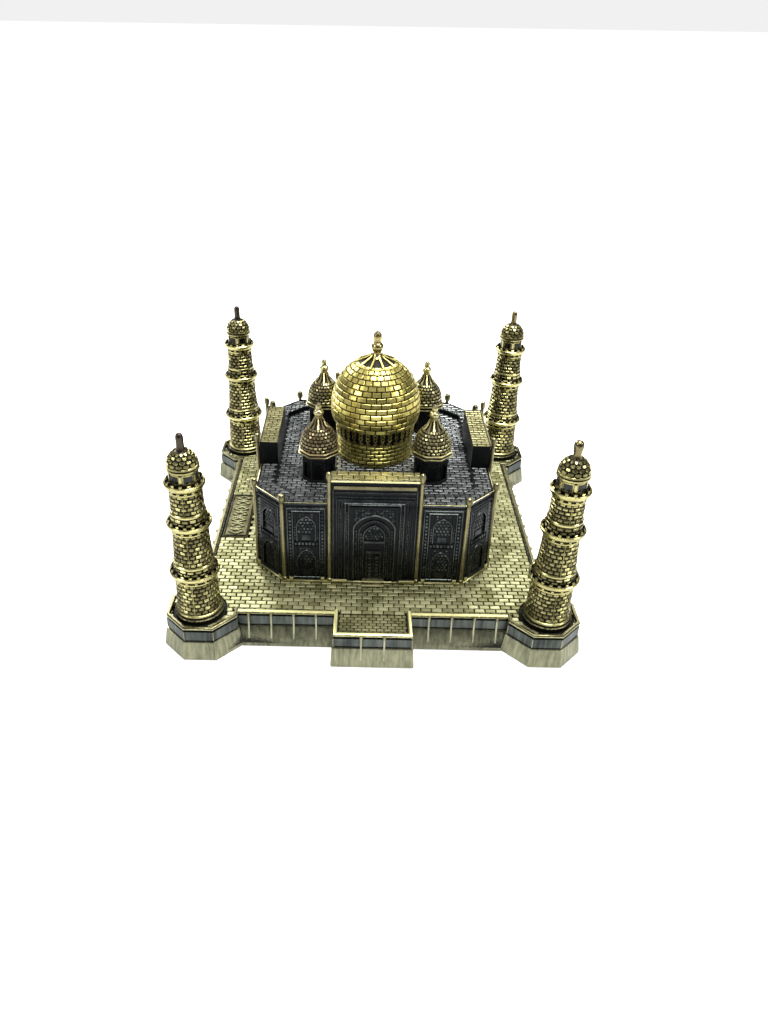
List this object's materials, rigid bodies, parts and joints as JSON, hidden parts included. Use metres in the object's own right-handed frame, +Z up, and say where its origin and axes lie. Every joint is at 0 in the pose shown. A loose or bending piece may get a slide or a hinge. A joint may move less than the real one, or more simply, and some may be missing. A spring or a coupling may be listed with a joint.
{
  "type": "miniature landmark model",
  "caption": "Cast metal desk souvenir of a domed hall with roof kiosks on a walled square terrace with slim corner towers, in antique brass.",
  "frame": {"origin": "on the table, under the middle of the terrace's outline with its front block", "axes": "+Z up; +Y from the front block to the back; +X to the right as seen from the front"},
  "size_m": [0.1114, 0.1128, 0.071],
  "materials": {
    "terrace_brass": "antique brass plating, brushed pale on the bricks and dark in the joints",
    "hall_black": "blackened plating with pale rubbed edges",
    "dome_brass": "bright antique brass plating, polished brick faces over dark joints",
    "kiosk_bronze": "brown antique plating with bright rubbed scale edges",
    "tower_brass": "antique brass plating, rubbed bright on bricks and rings",
    "finial_brass": "polished antique brass",
    "finial_dark": "dark brown plating, rubbed at the tip",
    "screw_steel": "zinc plated steel",
    "pad_felt": "black felt"
  },
  "bodies": {
    "root": {"terrace_base": "terrace_brass", "main_hall": "hall_black", "main_dome": "dome_brass", "dome_finial": "finial_brass", "kiosk_body_front_left": "hall_black", "kiosk_body_front_right": "hall_black", "kiosk_body_rear_left": "hall_black", "kiosk_body_rear_right": "hall_black", "kiosk_cap_front_left": "kiosk_bronze", "kiosk_cap_front_right": "kiosk_bronze", "kiosk_cap_rear_left": "kiosk_bronze", "kiosk_cap_rear_right": "kiosk_bronze", "tower_front_left": "tower_brass", "tower_front_right": "tower_brass", "tower_rear_left": "tower_brass", "tower_rear_right": "tower_brass", "tower_finial_front_left": "finial_dark", "tower_finial_front_right": "finial_brass", "tower_finial_rear_left": "finial_dark", "tower_finial_rear_right": "finial_brass", "kiosk_screw_front_left": "screw_steel", "kiosk_screw_front_right": "screw_steel", "kiosk_screw_rear_left": "screw_steel", "kiosk_screw_rear_right": "screw_steel", "tower_screw_front_left": "screw_steel", "tower_screw_front_right": "screw_steel", "tower_screw_rear_left": "screw_steel", "tower_screw_rear_right": "screw_steel", "hall_screw_front_left": "screw_steel", "hall_screw_front_right": "screw_steel", "hall_screw_rear_left": "screw_steel", "hall_screw_rear_right": "screw_steel", "dome_screw_left": "screw_steel", "dome_screw_right": "screw_steel", "foot_pad_front_left": "pad_felt", "foot_pad_front_right": "pad_felt", "foot_pad_rear_left": "pad_felt", "foot_pad_rear_right": "pad_felt"}
  },
  "joints": []
}
